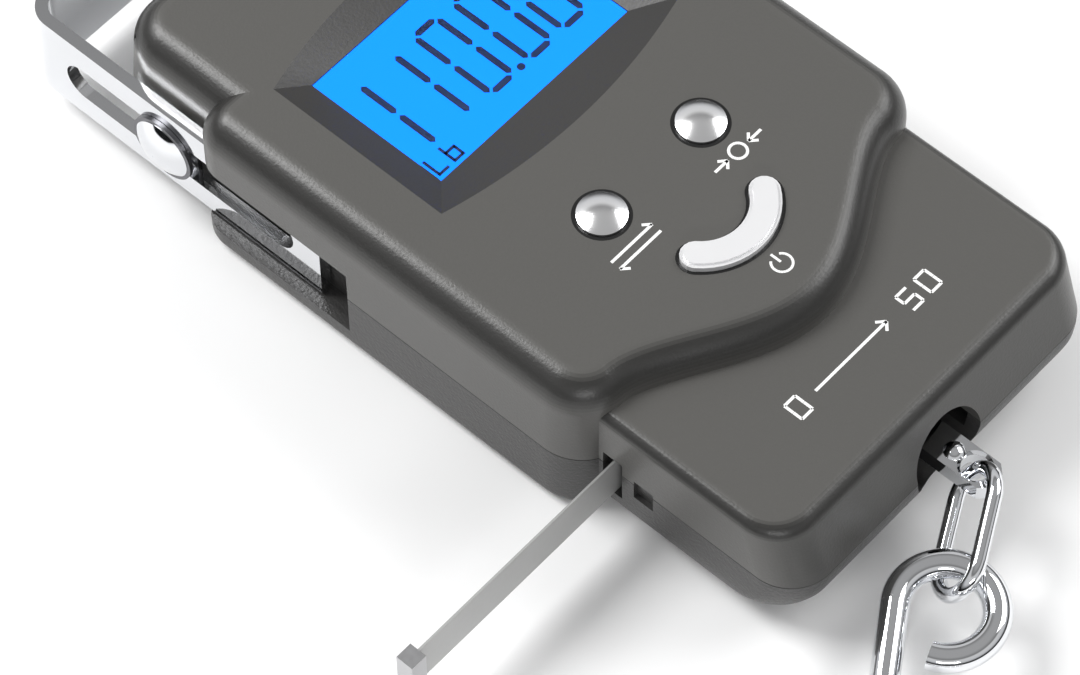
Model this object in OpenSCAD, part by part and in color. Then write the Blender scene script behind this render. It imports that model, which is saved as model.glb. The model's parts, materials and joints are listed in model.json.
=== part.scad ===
// Digital fish scale: hand-held hanging scale with a sliding handle, a chain link and a hook,
// three push buttons, a backlit display, a battery door and a pull-out tape measure.
// It lies on its back: +Z out of the display, +Y towards the handle, -Y towards the hook.

/* [Casing] */
// half width of the wide middle section
wide_half = 34.25; // [25:0.25:45]
// half width of the narrow section at the handle end
narrow_half = 29.8; // [22:0.1:40]
// half width of the lower section at the hook end
low_half = 30.7; // [22:0.1:40]
// front end of the lower section at the parting line
low_front = -61.6; // [-80:0.1:-50]
// back end of the wide section
wide_back = 41.5; // [30:0.5:55]
// back end of the narrow section
narrow_back = 61; // [50:0.5:80]
// height of the display face
face_top = 27; // [20:0.5:35]
// height of the lower section
low_top = 22.1; // [16:0.1:30]
// back face of the lower section
low_floor = 2.3; // [1:0.1:4]
// height of the line where the two shells meet
parting = 11.6; // [9:0.1:14]
// wall thickness of the shells
wall = 1.8; // [1.2:0.1:3]
// width of the soft edge around the display face
edge_w = 4.5; // [2:0.1:5]
// height of the soft edge around the display face
edge_h = 5.2; // [2:0.1:6]

/* [Display and buttons] */
// half length of the display window
lcd_hx = 18.5; // [12:0.5:21]
// half height of the display window
lcd_hy = 11.65; // [8:0.05:13]
// centre of the display window along the casing
lcd_y = 21.85; // [18:0.05:25]
// radius of a round button's hole
button_hole = 4.05; // [3:0.05:5]
// radius of a round button's cap
button_cap = 3.45; // [2.5:0.05:4.5]
// distance of the round buttons from the middle
button_x = 9.8; // [7:0.1:14]
// position of the round buttons along the casing
button_y = -10.2; // [-14:0.1:-6]
// button travel
button_travel = 1; // [0.3:0.1:1.5]

/* [Handle] */
// thickness of the handle strip
strip_t = 1.8; // [1.2:0.1:2.5]
// width of the handle strip
strip_w = 15; // [10:0.5:18]
// half width over the handle's arms
arm_x = 32.3; // [28:0.1:38]
// outer face of the handle's crossbar
bar_y = 75; // [68:0.5:90]
// inner end of the arms
arm_y = 19.9; // [15:0.1:30]
// radius of the slot in each arm
slot_r = 3.15; // [2:0.05:4]

/* [Hook] */
// hook wire radius
hook_r = 2; // [1.5:0.1:3]
// centreline radius of the hook's eye
eye_r = 6.6; // [5:0.1:9]
// centreline radius of the hook's bowl
bowl_r = 13; // [9:0.5:18]
// straight length of the hook's shank
shank_l = 46; // [25:1:60]
// chain link wire radius
link_r = 1.1; // [0.8:0.1:1.6]
// centreline radius of the link's ends
link_bend = 4.35; // [3.6:0.05:6]
// straight length of the link's sides
link_l = 8.5; // [5:0.5:15]

/* [Tape] */
// width of the tape
tape_w = 7.5; // [5:0.5:10]
// position of the tape along the casing
tape_y = -30.8; // [-34:0.1:-28]
// length of tape that is out of the casing
tape_out = 38.8; // [10:0.1:45]
// radius of the tape coil
coil_r = 10.4; // [8:0.1:12]

/* [Hidden] */
$fn = 64;
eps = 0.01;
hole_y = -65.8;
spool = [-17, tape_y - 0.3 - coil_r, 0];
slot_z = 11.2;
slot_a = 27.9;
slot_b = 63.9;
screw_y = 48.5;
strip_z = 3.9;
corner = 7.5;
nose_y = -29.3;
nose_d = 11;
hook_tilt = 5.9;
hook_yaw = -48.2;
lean = 9;
web = [-10.7, -72.65, 8.8];

// ---- outlines, counter-clockwise seen from above ----
function arc(cx, cy, r, a0, a1, n) = [for (i = [0 : n]) let (a = a0 + (a1 - a0) * i / n)
    [cx + r * cos(a), cy + r * sin(a)]];
function rect(hx, yf, yb, rf, rb) = concat(
    arc(hx - rf, yf + rf, rf, -90, 0, 7),
    arc(hx - rb, yb - rb, rb, 0, 90, 7),
    arc(rb - hx, yb - rb, rb, 90, 180, 7),
    arc(rf - hx, yf + rf, rf, 180, 270, 7));
// front edge of the display panel: a shallow nose over the lower section
function nose(x) = nose_y - nose_d * pow(sin(90 * (1 - abs(x) / (wide_half - corner))), 1.4);
function panel() = concat(
    [for (i = [-8 : 8]) let (x = (wide_half - corner) * i / 8) [x, nose(x)]],
    arc(wide_half - corner, nose_y + corner, corner, -80, 0, 7),
    arc(wide_half - 5, wide_back - 5, 5, 0, 90, 7),
    arc(5 - wide_half, wide_back - 5, 5, 90, 180, 7),
    arc(corner - wide_half, nose_y + corner, corner, 180, 260, 7));
function inward(p, q) = let (t = q - p) [-t.y, t.x] / norm(t);
function inset(ring, d) = let (n = len(ring)) [for (i = [0 : n - 1])
    ring[i] + d * inward(ring[(i + n - 1) % n], ring[(i + 1) % n])];

// rings = [[height, outline], ...] from the bottom up, all with the same number of points
module loft(rings) {
    n = len(rings[0][1]);
    m = len(rings);
    pts = [for (r = rings) for (p = r[1]) [p.x, p.y, r[0]]];
    sides = [for (k = [0 : m - 2]) for (i = [0 : n - 1]) let (j = (i + 1) % n)
        each [[k * n + i, (k + 1) * n + i, (k + 1) * n + j], [k * n + i, (k + 1) * n + j, k * n + j]]];
    floor_face = [for (i = [0 : n - 1]) i];
    roof_face = [for (i = [n - 1 : -1 : 0]) (m - 1) * n + i];
    polyhedron(pts, concat([floor_face], sides, [roof_face]), convexity = 6);
}

module box(a, b) {
    translate(a)
        cube(b - a);
}

module rod(a, b, r) {
    d = b - a;
    translate(a)
        rotate([0, acos(d.z / norm(d)), atan2(d.y, d.x)])
            cylinder(h = norm(d), r = r, $fn = 24);
}

// ---- casing solids ----
soft = [for (i = [0 : 6]) [face_top - edge_h + edge_h * sin(15 * i), edge_w * (1 - cos(15 * i))]];
inner_soft = [for (i = [0 : 3]) [face_top - wall - 4.6 + 4.6 * sin(30 * i),
    wall + 0.9 * edge_w * (1 - cos(30 * i))]];
low_edge = [for (i = [0 : 4]) [low_top - 1.9 + 1.9 * sin(22.5 * i), 1.9 * (1 - cos(22.5 * i))]];
function low_slant(z) = 0.31 * abs(z - parting);

module front_outer() {
    loft(concat([[parting, panel()]], [for (s = soft) [s[0], inset(panel(), s[1])]]));
    loft(concat([[parting, rect(narrow_half, 20, narrow_back, 1, 7)]],
        [for (s = soft) [s[0], rect(narrow_half - s[1], 20, narrow_back - 1.2 - s[1], 0.5, 7 - s[1])]]));
    loft(concat([[parting, rect(low_half, low_front, -20, 6.6, 1)]],
        [for (s = low_edge) [s[0], rect(low_half - s[1], low_front + low_slant(s[0]) + s[1],
            -20, 6.6 - s[1], 1)]]));
}

module front_cavity() {
    intersection() {
        loft(concat([[parting - eps, inset(panel(), wall)]],
            [for (s = inner_soft) [s[0], inset(panel(), s[1])]]));
        box([-40, -60, 0], [40, 3, 40]);
    }
    loft(concat([[parting - eps, rect(narrow_half - wall, 1, narrow_back - wall, 0.5, 5)]],
        [for (s = inner_soft) [s[0], rect(narrow_half - s[1], 1, narrow_back - 1.2 - s[1], 0.5, 1)]]));
    loft([[parting - eps, rect(low_half - wall, low_front + wall, -20, 4.8, 0.5)],
        [low_top - wall - 1, rect(low_half - wall, low_front + wall + 2.7, -20, 4.8, 0.5)],
        [low_top - wall, rect(low_half - wall - 0.8, low_front + wall + 3.6, -20, 4, 0.5)]]);
}

module rear_outer() {
    loft([[0, rect(wide_half - 2, nose_y + 2, wide_back - 2, 5.5, 3)],
        [0.6, rect(wide_half - 0.6, nose_y + 0.6, wide_back - 0.6, 6.9, 4.4)],
        [2, rect(wide_half, nose_y, wide_back, corner, 5)],
        [parting, rect(wide_half, nose_y, wide_back, corner, 5)]]);
    loft([[0, rect(narrow_half - 2, 20, narrow_back - 3.4, 1, 5)],
        [0.6, rect(narrow_half - 0.6, 20, narrow_back - 2, 1, 6.4)],
        [2, rect(narrow_half, 20, narrow_back - 1.3, 1, 7)],
        [parting, rect(narrow_half, 20, narrow_back, 1, 7)]]);
    loft(concat([for (i = [4 : -1 : 0]) let (a = 22.5 * i)
        [low_floor + 8 * (1 - sin(a)), rect(low_half - 2 * pow(1 - cos(a), 2) * (i == 4 ? 1 : 0.6),
            low_front + 8 * (1 - cos(a)), -20, 6.6, 1)]],
        [[parting, rect(low_half, low_front, -20, 6.6, 1)]]));
}

module rear_cavity() {
    loft([[wall, rect(wide_half - wall - 0.8, nose_y + wall + 0.8, 3, 5, 0.5)],
        [wall + 1, rect(wide_half - wall, nose_y + wall, 3, 5.7, 0.5)],
        [parting + eps, rect(wide_half - wall, nose_y + wall, 3, 5.7, 0.5)]]);
    loft([[wall, rect(narrow_half - wall - 0.8, 1, narrow_back - wall - 3, 0.5, 4)],
        [wall + 1, rect(narrow_half - wall, 1, narrow_back - wall - 1.3, 0.5, 5)],
        [parting + eps, rect(narrow_half - wall, 1, narrow_back - wall, 0.5, 5)]]);
    loft([[low_floor + wall, rect(low_half - wall - 0.6, low_front + 8, -20, 4.2, 0.5)],
        [low_floor + wall + 2, rect(low_half - wall, low_front + 4.6, -20, 4.8, 0.5)],
        [low_floor + 8, rect(low_half - wall, low_front + wall, -20, 4.8, 0.5)],
        [parting + eps, rect(low_half - wall, low_front + wall, -20, 4.8, 0.5)]]);
}

bosses = [[-24.5, -56], [24.5, -56], [-25, 56.3], [25, 56.3]];

// openings that both shells share: arm channels and windows, anchor holes, front hole, tape slot
module shared_cuts() {
    for (s = [-1, 1])
        mirror([s < 0 ? 1 : 0, 0, 0]) {
            box([30.2, 5, 3.5], [32.75, 70, 19.3]);
            box([32.4, 13, 3.9], [37, 50, 16.9]);
            box([27, 44.3, 6.8], [31, 52.7, 15.2]);
        }
    translate([0, low_front + 8, parting])
        rotate([90, 0, 0])
            cylinder(h = 12, r = 6.4);
    box([-low_half - 2, tape_y - 1.4, 5.8], [-low_half + 3, tape_y + 1.9, 13.9]);
    box([-low_half - 2, -37.5, 8.5], [-low_half + 0.8, -34.2, 12.3]);
}

// recess around the display: curved long edges, sloped faces down to the window
function screen(hx, y0, y1, sag) = concat(
    [for (i = [-6 : 6]) [hx * i / 6, y0 - sag * (1 - i * i / 36)]],
    [for (i = [6 : -1 : -6]) [hx * i / 6, y1 + sag * (1 - i * i / 36)]]);

// curved power button: a band along an arc with round ends
function kidney_line(w) = concat(
    arc(0, -18.5, 8.6 + w, -143, -37, 16),
    arc(8.6 * cos(37), -18.5 - 8.6 * sin(37), w, -30, 136, 8),
    arc(0, -18.5, 8.6 - w, -37, -143, 16),
    arc(-8.6 * cos(37), -18.5 - 8.6 * sin(37), w, 44, 210, 8));
module kidney(w, z0, z1) {
    translate([0, 0, z0])
        linear_extrude(z1 - z0)
            polygon(kidney_line(w));
}

module front_shell() {
    color([0.3, 0.3, 0.3])
        difference() {
            union() {
                difference() {
                    front_outer();
                    front_cavity();
                }
                loft([[23.9, screen(22.5, 6.5, 37, 1)], [25.5, screen(25, 4, 37, 3)]]);
                for (x = [-24, 24])
                    for (y = [-18, -2])
                        translate([x, y, 20.4])
                            cylinder(h = 5.4, r = 2, $fn = 32);
                for (x = [-23, 23])
                    translate([x, 40, 15])
                        cylinder(h = 10.5, r = 2, $fn = 32);
                for (b = bosses)
                    translate([b.x, b.y, parting])
                        cylinder(h = (b.y < 0 ? low_top : face_top) - 1 - parting, r = 2.6, $fn = 32);
                translate([spool.x, spool.y, 16.8])
                    cylinder(h = 4, r = 3, $fn = 32);
            }
            loft([[24.6, screen(lcd_hx, lcd_y - lcd_hy, lcd_y + lcd_hy, 0)],
                [face_top, screen(23.5, 5.5, 35.6, 3.2)],
                [face_top + 1, screen(25.6, 3.6, 37.5, 4.5)]]);
            box([-lcd_hx, lcd_y - lcd_hy, 22], [lcd_hx, lcd_y + lcd_hy, 25]);
            for (x = [-button_x, button_x])
                translate([x, button_y, 22])
                    cylinder(h = 8, r = button_hole);
            kidney(2.6, 22, 30);
            for (b = bosses)
                translate([b.x, b.y, parting - 1])
                    cylinder(h = 7.2, r = 1.15, $fn = 24);
            translate([spool.x, spool.y, 16])
                cylinder(h = 2.7, r = 1.53, $fn = 32);
            shared_cuts();
        }
}

module rear_shell() {
    color([0.22, 0.22, 0.22])
        difference() {
            union() {
                difference() {
                    rear_outer();
                    rear_cavity();
                }
                for (s = [-1, 1])
                    mirror([s < 0 ? 1 : 0, 0, 0]) {
                        box([11.2, -28, 0.5], [15, 23.2, 2.9]);
                        box([11.2, -28, 1.9], [12.6, 23.2, 9]);
                    }
                box([-12.6, -28, 1.9], [12.6, -27.2, 10.5]);
                box([-12.6, 22.2, 0.6], [12.6, 23.2, 10.5]);
                for (b = bosses)
                    translate([b.x, b.y, b.y < 0 ? 3 : 0.6])
                        cylinder(h = parting - (b.y < 0 ? 3 : 0.6), r = 3, $fn = 32);
                translate([spool.x, spool.y, 3])
                    cylinder(h = 2, r = 3, $fn = 32);
            }
            box([-12.3, -32, -1], [12.3, 22.7, 0.9 + eps]);
            box([-13.5, -32, 0.9], [13.5, 22.7, 1.9]);
            box([-11.2, -27.2, 1.5], [11.2, 22.2, 4]);
            for (b = bosses) {
                translate([b.x, b.y, -1])
                    cylinder(h = 7.5, r = 2.3, $fn = 32);
                translate([b.x, b.y, -1])
                    cylinder(h = 14, r = 1.25, $fn = 24);
            }
            translate([spool.x, spool.y, 3.6])
                cylinder(h = 4, r = 1.53, $fn = 32);
            shared_cuts();
        }
}

module lcd_window() {
    color([0.6, 0.75, 0.9, 0.4]) {
        box([-20.3, 8.4, 23], [20.3, 35.2, 23.9]);
        box([-lcd_hx + 0.1, lcd_y - lcd_hy + 0.1, 23.5], [lcd_hx - 0.1, lcd_y + lcd_hy - 0.1, 24.5]);
    }
}

module lcd_glass() {
    color([0.15, 0.65, 1])
        box([-20, 8.6, 21.9], [20, 35, 23]);
}

module lcd_backlight() {
    color([0.9, 0.95, 1])
        box([-19.6, 9, 20.4], [19.6, 34.6, 21.9]);
}

module circuit_board() {
    color([0.1, 0.4, 0.2])
        difference() {
            union() {
                box([-26, -26.5, 19.2], [26, 38, 20.4]);
                box([-11, -31, 19.2], [11, -26, 20.4]);
            }
            for (x = [-23, 23])
                translate([x, 40, 19])
                    cylinder(h = 2, r = 3.4, $fn = 32);
        }
}

module keypad_pad() {
    color([0.15, 0.15, 0.16]) {
        box([-16, -16, 20.4], [16, -5, 21.2]);
        box([-9.5, -30.5, 20.4], [9.5, -15.5, 21.2]);
        for (x = [-button_x, button_x])
            translate([x, button_y, 21])
                cylinder(h = 2.1, r = 2.5, $fn = 32);
        translate([0, -27.1, 21])
            cylinder(h = 2.1, r = 1.9, $fn = 32);
    }
}

module load_cell() {
    color([0.75, 0.77, 0.8])
        difference() {
            box([-6.35, -31, 15], [6.35, 53, 18.8]);
            for (y = [7, 15])
                translate([-7, y, 16.9])
                    rotate([0, 90, 0])
                        cylinder(h = 14, r = 1.3, $fn = 32);
            box([-7, 7, 16.6], [7, 15, 17.2]);
            for (x = [-3.2, 3.2])
                translate([x, screw_y, 14])
                    cylinder(h = 6, r = 1.5, $fn = 24);
            for (y = [-22.5, -26.5])
                translate([0, y, 14])
                    cylinder(h = 6, r = 1.2, $fn = 24);
        }
}

module strain_gauges() {
    color([0.85, 0.6, 0.2]) {
        box([-2.5, 5, 18.8], [2.5, 9, 19.05]);
        box([-2.5, 13, 18.8], [2.5, 17, 19.05]);
        box([-2.5, 5, 14.75], [2.5, 17, 15]);
    }
}

module load_cell_screws() {
    color([0.6, 0.6, 0.62]) {
        for (x = [-3.2, 3.2])
            translate([x, screw_y, 9]) {
                cylinder(h = 10, r = 1.5, $fn = 24);
                translate([0, 0, 9.8])
                    cylinder(h = 2, r = 2.8, $fn = 32);
            }
        for (y = [-22.5, -26.5])
            translate([0, y, 12.6]) {
                cylinder(h = 6, r = 1.2, $fn = 24);
                cylinder(h = 1.3, r = 1.95, $fn = 32);
            }
    }
}

module anchor_bar() {
    color([0.65, 0.66, 0.68])
        difference() {
            box([-30.3, screw_y - 4, 7], [30.3, screw_y + 4, 15]);
            for (s = [-1, 1])
                translate([s * 31, screw_y, slot_z])
                    rotate([0, -s * 90, 0])
                        cylinder(h = 11, r = 2, $fn = 32);
            for (x = [-3.2, 3.2])
                translate([x, screw_y, 9])
                    cylinder(h = 8, r = 1.5, $fn = 24);
        }
}

module handle_screws() {
    color([0.85, 0.85, 0.87])
        for (s = [-1, 1])
            mirror([s < 0 ? 1 : 0, 0, 0])
                translate([20, screw_y, slot_z])
                    rotate([0, 90, 0]) {
                        cylinder(h = 13, r = 2, $fn = 32);
                        translate([0, 0, 10.3])
                            cylinder(h = 2.8, r = 3, $fn = 48);
                        translate([0, 0, 12.95])
                            intersection() {
                                cylinder(h = 2, r = 4.7, $fn = 48);
                                translate([0, 0, -5.9])
                                    sphere(r = 7.6);
                            }
                    }
}

module handle_washers() {
    color([0.3, 0.3, 0.32])
        for (s = [-1, 1])
            mirror([s < 0 ? 1 : 0, 0, 0])
                translate([arm_x + 0.05, screw_y, slot_z])
                    rotate([0, 90, 0])
                        difference() {
                            cylinder(h = 0.6, r = 5.3, $fn = 48);
                            translate([0, 0, -1])
                                cylinder(h = 3, r = 3, $fn = 48);
                        }
}

module load_bracket() {
    color([0.7, 0.7, 0.72])
        difference() {
            union() {
                box([-4.5, -47.2, 13.9], [4.5, -20, 15]);
                box([-4.5, -47.2, 9.1], [4.5, -46, 14.5]);
                box([-1.9, -63.9, 9.1], [1.9, -46.5, 10.3]);
            }
            for (y = [-22.5, -26.5])
                translate([0, y, 13])
                    cylinder(h = 3, r = 1.2, $fn = 24);
            for (y = [-62.3, -52])
                translate([0, y, 8])
                    cylinder(h = 4, r = 1, $fn = 24);
        }
}

module hook_block() {
    color([0.8, 0.8, 0.82])
        difference() {
            translate([0, 0, 10.3])
                linear_extrude(2.6)
                    polygon([[-2.5, -49], [-2.5, -68], [-1.3, -69.2], [1.3, -69.2], [2.5, -68], [2.5, -49]]);
            translate([0, hole_y, 10]) {
                cylinder(h = 4, r = 2, $fn = 48);
                cylinder(h = 0.7, r1 = 2.7, r2 = 2, $fn = 48);
                translate([0, 0, 2.5])
                    cylinder(h = 0.7, r1 = 2, r2 = 2.7, $fn = 48);
            }
            for (y = [-62.3, -52])
                translate([0, y, 9])
                    cylinder(h = 5, r = 1, $fn = 24);
        }
}

module block_rivets() {
    color([0.85, 0.85, 0.86])
        for (y = [-62.3, -52])
            translate([0, y, 8.5]) {
                cylinder(h = 0.6, r = 1.5, $fn = 32);
                cylinder(h = 4.6, r = 1, $fn = 24);
                translate([0, 0, 4.4])
                    intersection() {
                        cylinder(h = 0.8, r = 1.5, $fn = 32);
                        translate([0, 0, -1.15])
                            sphere(r = 1.9, $fn = 48);
                    }
            }
}

module cell(y, dir) {
    translate([0, y, 7.3])
        rotate([-90 * dir, 0, 0]) {
            cylinder(h = 43.5, r = 5.25, $fn = 48);
            cylinder(h = 44.5, r = 1.9, $fn = 32);
        }
}

module battery_left() {
    color([0.75, 0.55, 0.2])
        translate([-5.6, 0, 0])
            cell(-22.8, 1);
}

module battery_right() {
    color([0.75, 0.55, 0.2])
        translate([5.6, 0, 0])
            cell(17.8, -1);
}

module spring_at(x, y0) {
    for (i = [0 : 4])
        translate([x, y0 + 0.4 + 0.775 * i, 7.3])
            rotate([90, 0, 0])
                rotate_extrude($fn = 32)
                    translate([3 - 0.1 * i, 0])
                        circle(r = 0.4, $fn = 16);
}

module battery_springs() {
    color([0.8, 0.8, 0.82]) {
        spring_at(-5.6, -26.7);
        spring_at(5.6, 17.8);
    }
}

module battery_plates() {
    color([0.82, 0.8, 0.75]) {
        box([-10, -27.2, 3.5], [10, -26.7, 10.5]);
        box([-10, 21.7, 3.5], [-1, 22.2, 10.9]);
        box([1, 21.7, 3.5], [10, 22.2, 10.9]);
    }
}

module tape_axle() {
    color([0.7, 0.7, 0.72])
        translate([spool.x, spool.y, 3.6])
            cylinder(h = 15, r = 1.5, $fn = 32);
}

module casing_screws() {
    color([0.5, 0.5, 0.52])
        for (b = bosses)
            translate([b.x, b.y, 4.5]) {
                cylinder(h = 2, r = 2.2, $fn = 32);
                cylinder(h = 13, r = 1.1, $fn = 24);
            }
}

module load_cell_wires() {
    color([0.7, 0.1, 0.1])
        for (y = [9.5, 12.5]) {
            rod([6.35, y, 18.1], [9.3, y, 18.1], 0.45);
            rod([9, y, 17.8], [9, y, 19.2], 0.45);
        }
}

module battery_wires() {
    color([0.1, 0.1, 0.1])
        for (x = [-8.5, 8.5])
            rod([x, 21.95, 10.9], [x, 21.95, 19.2], 0.5);
}

// U-shaped strip: two slotted arms and a crossbar with bent corners
module handle() {
    color([0.85, 0.86, 0.88])
        difference() {
            union() {
                for (s = [-1, 1])
                    mirror([s < 0 ? 1 : 0, 0, 0]) {
                        box([arm_x - strip_t, arm_y, strip_z], [arm_x, bar_y - 4.5, strip_z + strip_w]);
                        translate([arm_x - 4.5, bar_y - 4.5, strip_z])
                            rotate_extrude(angle = 90)
                                translate([4.5 - strip_t, 0])
                                    square([strip_t, strip_w]);
                    }
                box([4.5 - arm_x, bar_y - strip_t, strip_z], [arm_x - 4.5, bar_y, strip_z + strip_w]);
            }
            for (y = [slot_a, slot_b])
                translate([-40, y, slot_z])
                    rotate([0, 90, 0])
                        cylinder(h = 80, r = slot_r, $fn = 48);
            box([-40, slot_a, slot_z - slot_r], [40, slot_b, slot_z + slot_r]);
        }
}

module round_button(x) {
    color([0.85, 0.86, 0.88])
        translate([x, button_y, 24.2]) {
            cylinder(h = 0.8, r = 4.7, $fn = 48);
            intersection() {
                cylinder(h = 5, r = button_cap, $fn = 48);
                translate([0, 0, -2.96])
                    sphere(r = 7.06, $fn = 96);
            }
        }
}

module unit_button() {
    round_button(-button_x);
}

module tare_button() {
    round_button(button_x);
}

module power_button() {
    color([0.85, 0.86, 0.88]) {
        kidney(3.2, 24.2, 25);
        kidney(2.1, 24.5, 27.8);
        kidney(1.6, 27.5, 28.2);
    }
}

module ring_arc(r, w, a0, a1) {
    rotate([0, 0, a0])
        rotate_extrude(angle = a1 - a0)
            translate([r, 0])
                circle(r = w, $fn = 32);
}

module chain_link() {
    color([0.85, 0.86, 0.88])
        translate([-3.4, -68.49, 11.53])
            rotate([54.1, 17.5, -153.2]) {
                ring_arc(link_bend, link_r, 90, 270);
                translate([link_l, 0, 0])
                    ring_arc(link_bend, link_r, -90, 90);
                for (s = [-1, 1])
                    translate([0, s * link_bend, 0])
                        rotate([0, 90, 0])
                            cylinder(h = link_l, r = link_r, $fn = 32);
            }
}

// eye, leaning shank, round bowl and tapered point, bent from one wire
module hook() {
    color([0.85, 0.86, 0.88])
        translate(web)
            rotate([hook_tilt, 0, hook_yaw])
                translate([-eye_r * cos(70), -eye_r * sin(70), 0])
                    rotate([0, 0, -lean]) {
                        ring_arc(eye_r, hook_r, lean - 111, 180);
                        translate([-eye_r, 0, 0])
                            rotate([90, 0, 0])
                                translate([0, 0, -0.3])
                                    cylinder(h = shank_l + 0.6, r = hook_r - 0.01, $fn = 32);
                        translate([bowl_r - eye_r, -shank_l, 0]) {
                            ring_arc(bowl_r, hook_r, 180, 360);
                            translate([bowl_r, 0, 0])
                                rotate([-90, 0, 0])
                                    translate([0, 0, -0.3])
                                        cylinder(h = 8.3, r1 = hook_r - 0.01, r2 = 0.5, $fn = 32);
                        }
                    }
}

module battery_door() {
    color([0.2, 0.2, 0.2])
        difference() {
            union() {
                box([-12.1, -27.8, 0.1], [12.1, 22.5, 1.2]);
                box([-13.3, -27.8, 1], [13.3, 22.5, 1.75]);
            }
            for (i = [0 : 4])
                box([-7, 10 + 2 * i, 0], [7, 11 + 2 * i, 0.5]);
        }
}

module tape_blade() {
    color([0.8, 0.8, 0.8])
        box([-low_half - tape_out, tape_y - 0.15, 6.1], [-18, tape_y + 0.15, 6.1 + tape_w]);
}

module tape_tab() {
    color([0.7, 0.7, 0.7])
        difference() {
            translate([-low_half - tape_out, tape_y, 0])
                box([-1.2, -1.5, 5.6], [1.4, 1.2, 14.1]);
            box([-low_half - tape_out, tape_y - 0.15, 6.1], [-18, tape_y + 0.15, 6.1 + tape_w]);
        }
}

module tape_spool() {
    color([0.15, 0.15, 0.16])
        translate([spool.x, spool.y, 5.2])
            difference() {
                union() {
                    cylinder(h = 9.3, r = 3.8, $fn = 48);
                    cylinder(h = 0.7, r = 11.3);
                    translate([0, 0, 8.6])
                        cylinder(h = 0.7, r = 11.3);
                }
                translate([0, 0, -1])
                    cylinder(h = 12, r = 1.58, $fn = 32);
            }
}

module tape_coil() {
    color([0.8, 0.8, 0.8])
        translate([spool.x, spool.y, 6.1])
            difference() {
                cylinder(h = tape_w, r = coil_r);
                translate([0, 0, -1])
                    cylinder(h = tape_w + 2, r = 3.8, $fn = 48);
            }
}

module spool_spring() {
    color([0.4, 0.45, 0.55])
        translate([spool.x, spool.y, 14.5]) {
            for (r = [2, 4, 6])
                difference() {
                    cylinder(h = 1.6, r = r + 0.5, $fn = 48);
                    translate([0, 0, -1])
                        cylinder(h = 4, r = r, $fn = 48);
                }
            box([2.2, -0.3, 0], [6.3, 0.3, 1.6]);
        }
}

front_shell();
rear_shell();
lcd_window();
lcd_glass();
lcd_backlight();
circuit_board();
keypad_pad();
load_cell();
strain_gauges();
load_cell_screws();
anchor_bar();
handle_screws();
handle_washers();
load_bracket();
hook_block();
block_rivets();
battery_left();
battery_right();
battery_springs();
battery_plates();
tape_axle();
casing_screws();
load_cell_wires();
battery_wires();
handle();
unit_button();
tare_button();
power_button();
chain_link();
hook();
battery_door();
tape_blade();
tape_tab();
tape_spool();
tape_coil();
spool_spring();
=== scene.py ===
"""Digital fish scale on its back, dressed for the studio.

Shapes are given in millimetres in the frame's own axes; MM turns them into metres.
"""

import json
import math

import bpy
from mathutils import Matrix, Vector


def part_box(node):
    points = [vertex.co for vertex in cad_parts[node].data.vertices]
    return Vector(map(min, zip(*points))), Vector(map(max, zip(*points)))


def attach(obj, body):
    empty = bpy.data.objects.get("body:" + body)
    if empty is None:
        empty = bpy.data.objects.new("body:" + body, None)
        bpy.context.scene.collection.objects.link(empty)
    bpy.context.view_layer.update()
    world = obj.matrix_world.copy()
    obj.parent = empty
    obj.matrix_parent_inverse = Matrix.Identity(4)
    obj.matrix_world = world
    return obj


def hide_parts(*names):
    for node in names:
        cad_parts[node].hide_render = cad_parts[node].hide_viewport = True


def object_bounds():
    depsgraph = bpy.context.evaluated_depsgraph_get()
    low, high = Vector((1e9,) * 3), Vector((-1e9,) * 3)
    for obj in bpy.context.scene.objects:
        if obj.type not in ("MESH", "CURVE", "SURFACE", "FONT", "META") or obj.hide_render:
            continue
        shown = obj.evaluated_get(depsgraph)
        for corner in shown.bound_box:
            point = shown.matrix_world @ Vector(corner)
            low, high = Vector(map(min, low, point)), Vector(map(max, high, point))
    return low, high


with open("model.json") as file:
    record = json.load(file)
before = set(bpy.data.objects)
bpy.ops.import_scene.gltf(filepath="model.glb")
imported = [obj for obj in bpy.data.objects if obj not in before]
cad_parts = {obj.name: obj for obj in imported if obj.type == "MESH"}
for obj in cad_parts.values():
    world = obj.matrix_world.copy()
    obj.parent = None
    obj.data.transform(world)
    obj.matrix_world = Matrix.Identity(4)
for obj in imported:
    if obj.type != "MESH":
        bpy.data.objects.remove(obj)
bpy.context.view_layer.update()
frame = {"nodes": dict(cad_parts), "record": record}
MM = 0.001
nodes = frame["nodes"]
scene = bpy.context.scene

# ---------------------------------------------------------------- materials


def material(name, color, rough, metallic=0.0, grain=0.0, scale=900.0, mottle=0.06, **extra):
    """Principled surface with procedural grain (bump) and mottled roughness."""
    mat = bpy.data.materials.new(name)
    mat.use_nodes = True
    tree = mat.node_tree
    shader = tree.nodes["Principled BSDF"]
    shader.inputs["Base Color"].default_value = (*color, 1.0)
    shader.inputs["Metallic"].default_value = metallic
    for key, value in extra.items():
        shader.inputs[key.replace("_", " ")].default_value = value
    place = tree.nodes.new("ShaderNodeTexCoord")
    noise = tree.nodes.new("ShaderNodeTexNoise")
    noise.inputs["Scale"].default_value = scale
    noise.inputs["Detail"].default_value = 4.0
    tree.links.new(place.outputs["Object"], noise.inputs["Vector"])
    span = tree.nodes.new("ShaderNodeMapRange")
    span.inputs["To Min"].default_value = max(0.02, rough - mottle)
    span.inputs["To Max"].default_value = rough + mottle
    tree.links.new(noise.outputs["Fac"], span.inputs["Value"])
    tree.links.new(span.outputs["Result"], shader.inputs["Roughness"])
    if grain:
        bump = tree.nodes.new("ShaderNodeBump")
        bump.inputs["Strength"].default_value = grain
        bump.inputs["Distance"].default_value = 0.09 * MM
        tree.links.new(noise.outputs["Fac"], bump.inputs["Height"])
        tree.links.new(bump.outputs["Normal"], shader.inputs["Normal"])
    return mat


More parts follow.
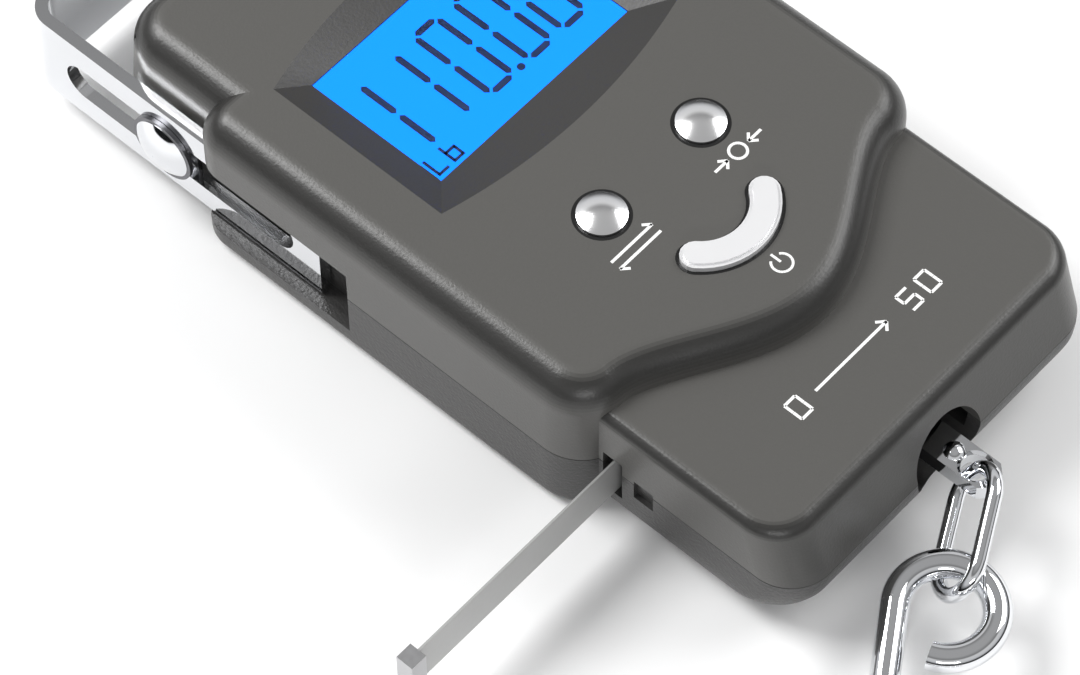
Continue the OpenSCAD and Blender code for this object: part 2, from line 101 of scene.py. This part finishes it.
def paint_edge_shade(mat, color, dark):
    """Painted shade: the rounded moulded edges are coloured darker than the flats, in place of the dark
    reflections they show.

    The colour follows the surface's own slope.
    """
    tree = mat.node_tree
    facing = tree.nodes.new("ShaderNodeNewGeometry")
    split = tree.nodes.new("ShaderNodeSeparateXYZ")
    ramp = tree.nodes.new("ShaderNodeValToRGB")
    stops = ramp.color_ramp.elements
    stops[0].position, stops[1].position = 0.1, 0.985
    for at in (0.3, 0.5, 0.85, 0.93):
        stops.new(at)
    for stop, share in zip(stops, (1.0, 0.55, dark, dark, 0.6, 1.0)):
        stop.color = (*[c * share for c in color], 1.0)
    tree.links.new(facing.outputs["True Normal"], split.inputs[0])
    tree.links.new(split.outputs["Z"], ramp.inputs["Fac"])
    tree.links.new(ramp.outputs["Color"], tree.nodes["Principled BSDF"].inputs["Base Color"])


CASING = material("casing", (0.078, 0.076, 0.072), 0.34, grain=0.35, scale=2600, mottle=0.06)
# painted shade: the casing's rounded edges are coloured darker by their slope
paint_edge_shade(CASING, (0.088, 0.086, 0.081), 0.3)
# painted shade for the sunk surround of the display: a darker copy of the casing
RECESS_SHADE = material("recess", (0.035, 0.034, 0.033), 0.4, grain=0.3, scale=2200)
REAR = material("rear casing", (0.045, 0.044, 0.043), 0.36, grain=0.9, scale=2200, mottle=0.06)
CHROME = material("chrome", (0.8, 0.81, 0.83), 0.06, metallic=1.0, scale=300, mottle=0.02)
BUTTON = material("button chrome", (0.96, 0.96, 0.97), 0.2, metallic=1.0, scale=300, mottle=0.03)
PEARL = material("pearl chrome", (0.93, 0.93, 0.94), 0.3, metallic=0.45, scale=300, mottle=0.03)
# painted shade: near-black colour for the rings that stand in the shaded gaps round the buttons
GAP_SHADE = material("black gap", (0.006, 0.006, 0.006), 0.35, scale=500)
STEEL = material("steel", (0.55, 0.55, 0.56), 0.3, metallic=1.0, grain=0.1, scale=1500)
DARK = material("dark steel", (0.16, 0.16, 0.17), 0.35, metallic=1.0, scale=900)
TAPE = material("tape", (0.42, 0.42, 0.415), 0.38, metallic=0.35, scale=1200)
BOARD = material("board", (0.02, 0.16, 0.06), 0.45, scale=700)
RUBBER = material("rubber", (0.02, 0.02, 0.02), 0.6, scale=900)
ALUMINIUM = material("aluminium", (0.75, 0.76, 0.78), 0.32, metallic=1.0, grain=0.1, scale=1500)
CELL = material("cell", (0.6, 0.42, 0.16), 0.25, metallic=0.8, scale=400)
WIRE = material("wire", (0.4, 0.02, 0.02), 0.4, scale=900)
BLUE = material("display", (0.01, 0.25, 0.8), 0.3, scale=150, mottle=0.02,
                Emission_Color=(0.015, 0.33, 1.0, 1.0), Emission_Strength=0.95)
NAVY = material("segments", (0.005, 0.02, 0.08), 0.4, scale=600)
WINDOW = material("window", (0.95, 0.98, 1.0), 0.06, scale=200, mottle=0.02,
                  Transmission_Weight=1.0, IOR=1.12)
PRINT = material("print", (0.85, 0.85, 0.84), 0.5, scale=900)

SLOTS = {"casing": CASING, "window": WINDOW, "display": BLUE, "board": BOARD, "rubber_pad": RUBBER,
         "aluminium": ALUMINIUM, "steel": STEEL, "chrome": CHROME, "dark_steel": DARK, "battery": CELL,
         "wire": WIRE, "tape": TAPE}
OWN = {"rear_shell": REAR, "battery_door": REAR, "unit_button": BUTTON, "tare_button": BUTTON,
       "power_button": PEARL, "tape_tab": STEEL}


def dress(obj, mat):
    obj.data.materials.clear()
    obj.data.materials.append(mat)
    for face in obj.data.polygons:
        face.material_index = 0


def soften(obj, angle=35.0, bevel=0.0):
    """Smooth shading up to an angle, flat faces kept flat, and a fine bevel on what stays sharp."""
    for face in obj.data.polygons:
        face.use_smooth = True
    obj.data.set_sharp_from_angle(angle=math.radians(angle))
    if bevel:
        mod = obj.modifiers.new("edge", "BEVEL")
        mod.width = bevel * MM
        mod.segments = 3
        mod.limit_method = "ANGLE"
        mod.angle_limit = math.radians(angle)
        mod.harden_normals = True
    else:
        mod = obj.modifiers.new("normals", "WEIGHTED_NORMAL")
        mod.keep_sharp = True


for part in frame["record"]["subparts"]:
    name = part["node"]
    dress(nodes[name], OWN.get(name, SLOTS[part["material_slot"]]))

EDGES = {"handle": 0.3, "hook_block": 0.25, "tape_tab": 0.2, "handle_washers": 0.1,
         "battery_door": 0.15, "power_button": 0.35}
for name, obj in nodes.items():
    soften(obj, bevel=EDGES.get(name, 0.0))

# ---------------------------------------------------------------- building helpers


def add(name, verts, faces, mat, slot, body="casing"):
    mesh = bpy.data.meshes.new(name)
    mesh.from_pydata([tuple(c * MM for c in v) for v in verts], [], faces)
    mesh.update()
    obj = bpy.data.objects.new(name, mesh)
    scene.collection.objects.link(obj)
    dress(obj, mat)
    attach(obj, body)
    return obj


def plates(name, outlines, z, thick, mat, slot):
    """Flat plates from closed outlines, each between z and z + thick, as one piece."""
    verts, faces = [], []
    for line in outlines:
        n, k = len(line), len(verts)
        verts += [(x, y, z) for x, y in line] + [(x, y, z + thick) for x, y in line]
        faces += [tuple(k + i for i in reversed(range(n))), tuple(k + n + i for i in range(n))]
        faces += [(k + i, k + (i + 1) % n, k + n + (i + 1) % n, k + n + i) for i in range(n)]
    return add(name, verts, faces, mat, slot)


def bar(x0, y0, x1, y1, w):
    """Stroke from one point to the other as a closed outline of width w."""
    dx, dy = x1 - x0, y1 - y0
    n = math.hypot(dx, dy)
    nx, ny = -dy / n * w / 2, dx / n * w / 2
    return [(x0 - nx, y0 - ny), (x1 - nx, y1 - ny), (x1 + nx, y1 + ny), (x0 + nx, y0 + ny)]


def arc(cx, cy, r, a0, a1, n):
    """Points on a circle from angle a0 to a1, in degrees."""
    turn = [math.radians(a0 + (a1 - a0) * i / n) for i in range(n + 1)]
    return [(cx + r * math.cos(a), cy + r * math.sin(a)) for a in turn]


def curve_line(cx, cy, r, a0, a1, w, n=14):
    """Arc stroke of width w as short outlines."""
    pts = arc(cx, cy, r, a0, a1, n)
    return [bar(*p, *q, w) for p, q in zip(pts, pts[1:])]


def disc(cx, cy, r, n=20):
    turn = [2 * math.pi * i / n for i in range(n)]
    return [(cx + r * math.cos(a), cy + r * math.sin(a)) for a in turn]


# ---------------------------------------------------------------- display

SEGMENTS = {"0": "abcdef", "1": "bc", "5": "acdfg"}


def segment(x0, y0, x1, y1, w):
    """Six-sided bar with pointed ends."""
    dx, dy = (x1 - x0), (y1 - y0)
    n = math.hypot(dx, dy)
    ux, uy = dx / n * w / 2, dy / n * w / 2
    return [(x0, y0), (x0 + ux + uy, y0 + uy - ux), (x1 - ux + uy, y1 - uy - ux), (x1, y1),
            (x1 - ux - uy, y1 - uy + ux), (x0 + ux - uy, y0 + uy + ux)]


def digit(text, x, y, w, h, t):
    """Seven-segment figure with its lower left corner at (x, y)."""
    g = t * 0.28
    ends = {"a": (x, y + h, x + w, y + h), "g": (x, y + h / 2, x + w, y + h / 2), "d": (x, y, x + w, y),
            "f": (x, y + h / 2, x, y + h), "b": (x + w, y + h / 2, x + w, y + h),
            "e": (x, y, x, y + h / 2), "c": (x + w, y, x + w, y + h / 2)}
    out = []
    for key in SEGMENTS[text]:
        x0, y0, x1, y1 = ends[key]
        if x0 == x1:
            out.append(segment(x0, y0 + g, x1, y1 - g, t))
        else:
            out.append(segment(x0 + g, y0, x1 - g, y1, t))
    return out


lcd_lo, lcd_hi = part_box("lcd_glass")
lcd_z = lcd_hi[2] / MM
mid_y = (lcd_lo[1] + lcd_hi[1]) / 2 / MM
window_lo, window_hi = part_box("lcd_window")
foot = mid_y - 6.4
PITCH = 6.7
DIGIT = (4.3, 14.0, 1.0)
figures = []
for i, text in enumerate("11000"):
    x = -16.4 + PITCH * i + (0.9 if i > 2 else 0) - (1.6 if text == "1" else 0)
    figures += digit(text, x, foot, *DIGIT)
figures.append(disc(2.9, foot, 0.6))
# unit mark in the corner
low = mid_y - 10.1
THIN = 0.45
figures += [bar(-17.2, low, -17.2, low + 3.0, THIN), bar(-17.4, low, -15.4, low, THIN)]
figures += [bar(-14.2, low, -14.2, low + 3.0, THIN), bar(-12.6, low, -12.6, low + 1.7, THIN)]
figures += [bar(-14.4, y, -12.4, y, THIN) for y in (low, low + 1.7)]
plates("display_figures", figures, lcd_z + 0.03, 0.04, NAVY, "display")

# ---------------------------------------------------------------- print on the casing

TOP = 27.0
LOW = 22.1
INK = 0.04
STROKE, FINE = 0.42, 0.36
MARK_Y = -16.8
ZERO_X = 9.6
SWAP_X = -10.6
# zero: a round figure between two arrows
marks = curve_line(ZERO_X, MARK_Y, 1.25, 0, 360, STROKE, 24)
for s in (-1, 1):
    tip = ZERO_X + s * 2.1
    marks.append(bar(ZERO_X + s * 4.6, MARK_Y, tip, MARK_Y, STROKE))
    marks += [bar(tip, MARK_Y, ZERO_X + s * 3.1, MARK_Y + k * 0.9, STROKE) for k in (-1, 1)]
# swap: two opposed arrows
for s in (-1, 1):
    y = MARK_Y + s * 0.75
    tip = SWAP_X + s * 4
    marks.append(bar(SWAP_X - s * 4, y, tip, y, STROKE))
    marks.append(bar(tip, y, SWAP_X + s * 3.0, y + s * 0.95, STROKE))
# power: a broken ring with a stroke
marks += curve_line(0, -32.5, 1.45, 125, 415, FINE, 20)
marks.append(bar(0, -32.3, 0, -30.6, FINE))
plates("button_print", marks, TOP, INK, PRINT, "casing")


def stroke_digit(text, x, y, w, h, t):
    return [bar(o[0][0], o[0][1], o[3][0], o[3][1], t) for o in digit(text, x, y, w, h, t * 0.2)]


RANGE_Y = -46.5
RANGE_FIGURE = (2.1, 3.0, STROKE)
capacity = stroke_digit("0", -14.0, RANGE_Y - 1.5, *RANGE_FIGURE)
capacity.append(bar(-9.6, RANGE_Y, 4.6, RANGE_Y, STROKE))
capacity += [bar(4.6, RANGE_Y, 3.5, RANGE_Y + s * 1.0, STROKE) for s in (-1, 1)]
for i, text in enumerate("50"):
    capacity += stroke_digit(text, 8.2 + 3.7 * i, RANGE_Y - 1.5, *RANGE_FIGURE)
plates("range_print", capacity, LOW, INK, PRINT, "casing")

# ---------------------------------------------------------------- black rings round the buttons, painted shade of the gaps


# painted shade: a black ring stands where the gap round a button lies in shade
def collar(name, inner, outer, z0, z1):
    n = len(inner)
    verts = [(x, y, z) for z in (z0, z1) for line in (inner, outer) for x, y in line]
    faces = []
    for i in range(n):
        j = (i + 1) % n
        faces += [(i, j, n + j, n + i)[::-1], (2 * n + i, 2 * n + j, 3 * n + j, 3 * n + i),
                  (n + i, n + j, 3 * n + j, 3 * n + i), (i, j, 2 * n + j, 2 * n + i)[::-1]]
    return add(name, verts, faces, GAP_SHADE, "rubber_pad")


RING_Z = (25.06, 26.98)
BAND_Y, BAND_R, BAND_TURN = -18.5, 8.6, 37


def kidney_line(w, n=24, m=14):
    """Outline of the curved button: a band of half width w about an arc, with round ends."""
    turn = math.radians(BAND_TURN)
    ex, ey = BAND_R * math.cos(turn), BAND_Y - BAND_R * math.sin(turn)
    a0, a1 = BAND_TURN - 180, -BAND_TURN
    return (arc(0, BAND_Y, BAND_R + w, a0, a1, n) + arc(ex, ey, w, -30, 136, m)
            + arc(0, BAND_Y, BAND_R - w, a1, a0, n) + arc(-ex, ey, w, 44, 210, m))


for name, key in (("left_ring", "unit_button"), ("right_ring", "tare_button")):
    lo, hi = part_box(key)
    cx, cy = (lo[0] + hi[0]) / 2 / MM, (lo[1] + hi[1]) / 2 / MM
    collar(name, disc(cx, cy, 3.5, 64), disc(cx, cy, 4.03, 64), *RING_Z)
collar("power_ring", kidney_line(2.14), kidney_line(2.58), *RING_Z)

# ---------------------------------------------------------------- casing shells

# half widths of the display section, the handle end and the lower section
WIDE, NARROW, LOWER = 34.25, 29.8, 30.7
# the same sections along Y, and the radii of their outer corners
WIDE_FRONT, WIDE_BACK, FRONT_R, BACK_R = -29.3, 41.5, 7.5, 5
NARROW_FRONT, NARROW_BACK, NARROW_R = 20, 61, 7
LOWER_FRONT, LOWER_BACK, LOWER_R = -61.6, -20, 6.6
PART = 11.6
NOSE = 11
LCD_X, LCD_FRONT, LCD_BACK = 18.5, 10.2, 33.5
BUTTON_X, BUTTON_Y, BUTTON_R = 9.8, -10.2, 4.05
BOSSES = [(-24.5, -56), (24.5, -56), (-25, 56.3), (25, 56.3)]
BORE_R = 2.3
# heights and insets of the rounded upper edges, then of the lower section's smaller ones
EDGE_Z, EDGE_XY, LOW_EDGE = 5.2, 4.5, 1.9
STEPS = [math.radians(90 * i / 14) for i in range(15)]
SOFT = [(TOP - EDGE_Z + EDGE_Z * math.sin(t), EDGE_XY * (1 - math.cos(t))) for t in STEPS]
SOFT.append((TOP + 0.0001, EDGE_XY + 0.2))
LOWSOFT = [(LOW - LOW_EDGE + LOW_EDGE * math.sin(t), LOW_EDGE * (1 - math.cos(t))) for t in STEPS[::2]]
LOWSOFT.append((LOW + 0.0001, LOW_EDGE + 0.2))
# drop and inset factors of the rounded edges at the back
SIDE = [math.radians(90 * (8 - i) / 8) for i in range(9)]
ROUND = [(math.sin(t), 1 - math.cos(t)) for t in SIDE]


def rect(hx, yf, yb, rf, rb, n=20):
    """Outline of half width hx from yf to yb, with corner radii rf in front and rb behind."""
    return (arc(hx - rf, yf + rf, rf, -90, 0, n) + arc(hx - rb, yb - rb, rb, 0, 90, n)
            + arc(rb - hx, yb - rb, rb, 90, 180, n) + arc(rf - hx, yf + rf, rf, 180, 270, n))


def panel(n=20, m=24):
    """Outline of the display panel: straight sides, round corners and a shallow nose."""
    cx, cy = WIDE - FRONT_R, WIDE_FRONT + FRONT_R
    bx, by = WIDE - BACK_R, WIDE_BACK - BACK_R
    nose = []
    for i in range(-m, m + 1):
        swell = math.sin(math.pi / 2 * (1 - abs(i) / m)) ** 1.4
        nose.append((cx * i / m, WIDE_FRONT - NOSE * swell))
    return (nose + arc(cx, cy, FRONT_R, -84, 0, n) + arc(bx, by, BACK_R, 0, 90, n)
            + arc(-bx, by, BACK_R, 90, 180, n) + arc(-cx, cy, FRONT_R, 180, 264, n))


def inset(ring, d):
    """The outline moved inwards by d."""
    out = []
    for i, p in enumerate(ring):
        a, b = ring[i - 1], ring[(i + 1) % len(ring)]
        tx, ty = b[0] - a[0], b[1] - a[1]
        k = math.hypot(tx, ty)
        out.append((p[0] - d * ty / k, p[1] + d * tx / k))
    return out


def loft(rings):
    """Closed solid through outlines at rising heights."""
    n = len(rings[0][1])
    verts = [(x, y, z) for z, ring in rings for x, y in ring]
    faces = [tuple(reversed(range(n))), tuple((len(rings) - 1) * n + i for i in range(n))]
    for k in range(len(rings) - 1):
        for i in range(n):
            a, b = k * n + i, k * n + (i + 1) % n
            faces.append((a, b, b + n, a + n))
    return verts, faces


def block(a, b):
    return loft([(z, [(a[0], a[1]), (b[0], a[1]), (b[0], b[1]), (a[0], b[1])]) for z in (a[2], b[2])])


def both(a, b):
    """A block and its mirror image across the middle."""
    return [block(a, b), block((-b[0], a[1], a[2]), (-a[0], b[1], b[2]))]


def pin(x, y, z0, z1, r, n=48):
    return loft([(z, disc(x, y, r, n)) for z in (z0, z1)])


def merge(solids):
    """Vertices and faces of several solids as one."""
    verts, faces = [], []
    for v, f in solids:
        faces += [tuple(len(verts) + i for i in face) for face in f]
        verts += v
    return verts, faces


GROW = 100


def carve(name, solids, cuts, mat, body="casing"):
    """Union of the solids, minus each group of cuts; then smooth shading.

    A group's solids don't overlap. The booleans run GROW times larger.
    """
    made = []
    for k, group in enumerate(solids + cuts):
        verts, faces = merge(group)
        mesh = bpy.data.meshes.new(f"{name}_{k}")
        mesh.from_pydata([tuple(c * MM * GROW for c in v) for v in verts], [], faces)
        obj = bpy.data.objects.new(f"{name}_{k}", mesh)
        scene.collection.objects.link(obj)
        made.append(obj)
    base = made[0]
    for k, obj in enumerate(made[1:], 1):
        mod = base.modifiers.new(f"m{k}", "BOOLEAN")
        mod.operation = "UNION" if k < len(solids) else "DIFFERENCE"
        mod.solver = "EXACT"
        mod.object = obj
    done = base.evaluated_get(bpy.context.evaluated_depsgraph_get())
    mesh = bpy.data.meshes.new_from_object(done)
    mesh.transform(Matrix.Scale(1 / GROW, 4))
    for obj in made:
        bpy.data.objects.remove(obj)
    mesh.name = name
    obj = bpy.data.objects.new(name, mesh)
    scene.collection.objects.link(obj)
    dress(obj, mat)
    soften(obj, 14)
    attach(obj, body)
    return obj


def slant(z):
    """How far the lower section's front wall leans back at height z."""
    return 0.31 * abs(z - PART)


def screen(hx, y0, y1, sag, m=14):
    """Outline whose front and back edges bulge outwards by sag."""
    xs = [hx * i / m for i in range(-m, m + 1)]
    return ([(x, y0 - sag * (1 - (x / hx) ** 2)) for x in xs]
            + [(x, y1 + sag * (1 - (x / hx) ** 2)) for x in reversed(xs)])


hole = loft([(z, disc(0, 0, 6.4, 64)) for z in (-67.0, -53.0)])
hole = ([(x, z, PART - y) for x, y, z in hole[0]], hole[1])
# cut through both shells
shared = [both((30.2, 5, 3.5), (32.75, 70, 19.3)), both((32.4, 13, 3.9), (37, 50, 16.9)),
          both((27, 44.3, 6.8), (31, 52.7, 15.2)), [hole],
          [block((-33, -32.2, 5.8), (-27.5, -28.9, 13.9)),
           block((-33, -37.5, 8.5), (-29.9, -34.2, 12.3))]]

front = carve("front_casing", [
    [loft([(PART, panel())] + [(z, inset(panel(), d)) for z, d in SOFT])],
    [loft([(PART, rect(NARROW, NARROW_FRONT, NARROW_BACK, 1, NARROW_R))]
          + [(z - 0.0002, rect(NARROW - d, NARROW_FRONT, NARROW_BACK - 1.2 - d, 0.5, NARROW_R - d))
             for z, d in SOFT])],
    [loft([(PART, rect(LOWER, LOWER_FRONT, LOWER_BACK, LOWER_R, 1))]
          + [(z, rect(LOWER - d, LOWER_FRONT + slant(z) + d, LOWER_BACK, LOWER_R - d, 1))
             for z, d in LOWSOFT])]], [
    [block((-28, 3, 11), (28, 57.5, 23.9))],
    [block((-31, -26, 11), (31, 3.2, 25.1))],
    [block((-11, -31.5, 11), (11, -25, 25.1))],
    [block((-28.6, -57, 11), (28.6, -24, 20.1))],
    [loft([(24.6, screen(LCD_X, LCD_FRONT, LCD_BACK, 0)), (TOP, screen(23.5, 5.5, 35.6, 3.2)),
           (28.0, screen(24.4, 4.7, 36.4, 3.75))])],
    [block((-LCD_X, LCD_FRONT, 22), (LCD_X, LCD_BACK, 24.9)),
     pin(-BUTTON_X, BUTTON_Y, 22, 29, BUTTON_R, 72), pin(BUTTON_X, BUTTON_Y, 22, 29, BUTTON_R, 72),
     loft([(z, kidney_line(2.6)) for z in (22, 29)])]] + shared, CASING)
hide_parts("front_shell")
front.data.materials.append(RECESS_SHADE)
# painted shade: the sunk surround of the display is coloured darker than the rest of the casing
for face in front.data.polygons:
    x, y, z = face.center / MM
    if abs(x) < 23.7 and 2 < y < 39 and 24.0 < z < 26.99:
        face.material_index = 1

rear = carve("rear_casing", [
    [loft([(2 - 2 * s, rect(WIDE - 2 * c, WIDE_FRONT + 2 * c, WIDE_BACK - 2 * c,
                            FRONT_R - 2 * c, BACK_R - 2 * c)) for s, c in ROUND]
          + [(PART - 0.2, rect(WIDE, WIDE_FRONT, WIDE_BACK, FRONT_R, BACK_R)),
             (PART - 0.01, rect(WIDE - 0.25, WIDE_FRONT + 0.25, WIDE_BACK - 0.25,
                                FRONT_R - 0.25, BACK_R - 0.25))])],
    [loft([(2.0001 - 2 * s, rect(NARROW - 2 * c, NARROW_FRONT, NARROW_BACK - 1.3 - 2 * c, 1,
                                 NARROW_R - 2 * c)) for s, c in ROUND]
          + [(PART - 0.2, rect(NARROW, NARROW_FRONT, NARROW_BACK, 1, NARROW_R)),
             (PART - 0.0102, rect(NARROW - 0.25, NARROW_FRONT, NARROW_BACK - 0.25, 1,
                                  NARROW_R - 0.25))])],
    [loft([(2.3 + 8 * (1 - s), rect(LOWER - 1.6 * c ** 2, LOWER_FRONT + 8 * c, LOWER_BACK,
                                    LOWER_R, 1)) for s, c in ROUND]
          + [(PART - 0.2, rect(LOWER, LOWER_FRONT, LOWER_BACK, LOWER_R, 1)),
             (PART - 0.0104, rect(LOWER - 0.25, LOWER_FRONT + 0.25, LOWER_BACK,
                                  LOWER_R - 0.25, 1))])]], [
    [block((-28, 3, 1.9), (28, 57, 12))],
    [block((-31, -27.2, 1.9), (31, 3.2, 12))],
    [block((-28.4, -54, 4.3), (28.4, -24, 12))],
    [block((-28.4, -59.4, 9), (28.4, -53, 12))],
    [block((-12.3, -32, -1), (12.3, 22.7, 0.9))],
    [block((-13.5, -32, 0.8), (13.5, 22.7, 2.0))],
    [pin(x, y, -1, 6.5, BORE_R) for x, y in BOSSES]] + shared, REAR)
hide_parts("rear_shell")
BAY_WALLS = (((11.2, -27.2, 2.9), (12.6, 23.2, 9)), ((-12.6, -27.2, 2.9), (-11.2, 23.2, 9)),
             ((-11.2, 22.2, 2.9), (11.2, 23.2, 10.5)), ((-11.2, -28, 2.9), (11.2, -27.2, 10.5)),
             ((12.4, -27.2, 2.0), (15, 23.2, 2.9)), ((-15, -27.2, 2.0), (-12.4, 23.2, 2.9)))
add("battery_bay", *merge([block(a, b) for a, b in BAY_WALLS]), REAR, "casing")

# ---------------------------------------------------------------- studio

bpy.ops.mesh.primitive_plane_add(size=6)
floor = bpy.context.active_object
floor.name = "floor"
floor.location = (0, 0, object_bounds()[0][2] - 0.0002)
dress(floor, material("floor", (0.92, 0.92, 0.92), 0.9, scale=30, mottle=0.02))

world = scene.world or bpy.data.worlds.new("studio")
scene.world = world
scene.view_settings.view_transform = "Standard"
world.use_nodes = True
sky = world.node_tree
back = sky.nodes["Background"]
place = sky.nodes.new("ShaderNodeTexCoord")
split = sky.nodes.new("ShaderNodeSeparateXYZ")
ramp = sky.nodes.new("ShaderNodeValToRGB")
ramp.color_ramp.elements[0].position = 0.12
ramp.color_ramp.elements[0].color = (0.015, 0.015, 0.016, 1)
ramp.color_ramp.elements[1].position = 0.34
ramp.color_ramp.elements[1].color = (0.85, 0.86, 0.88, 1)
for at, grey in ((0.62, 0.95), (0.72, 0.3), (0.9, 0.55)):
    step = ramp.color_ramp.elements.new(at)
    step.color = (grey, grey, grey, 1)
sky.links.new(place.outputs["Generated"], split.inputs[0])
sky.links.new(split.outputs["Z"], ramp.inputs["Fac"])
sky.links.new(ramp.outputs["Color"], back.inputs["Color"])
back.inputs["Strength"].default_value = 0.7


def softbox(name, at, size_xy, power, aim=(0, -0.01, 0)):
    light = bpy.data.lights.new(name, "AREA")
    light.shape = "RECTANGLE"
    light.size, light.size_y = size_xy
    light.energy = power
    obj = bpy.data.objects.new(name, light)
    obj.location = at
    obj.rotation_euler = (Vector(aim) - Vector(at)).to_track_quat("-Z", "Y").to_euler()
    scene.collection.objects.link(obj)


softbox("key", (-0.25, 0.55, 0.75), (0.45, 0.45), 7.5)
softbox("fill", (0.6, -0.3, 0.6), (0.6, 0.4), 4.0)
softbox("front strip", (-0.5, -0.55, 0.3), (0.35, 0.06), 1.0)

# ---------------------------------------------------------------- camera

LENS = 169.265
camera_data = bpy.data.cameras.new("camera")
camera = bpy.data.objects.new("camera", camera_data)
scene.collection.objects.link(camera)
scene.camera = camera
camera_data.sensor_width = 36.0
camera_data.lens = LENS
camera_data.clip_start = 0.05
HEADING, TILT, ROLL = 47.383, 57.010, -0.881
STATION = (-0.289146, -0.255964, 0.571025)
turn = Matrix.Rotation(math.radians(-HEADING), 4, "Z")
turn = turn @ Matrix.Rotation(math.radians(90 - TILT), 4, "X")
turn = turn @ Matrix.Rotation(math.radians(ROLL), 4, "Z")
camera.matrix_world = Matrix.Translation(STATION) @ turn
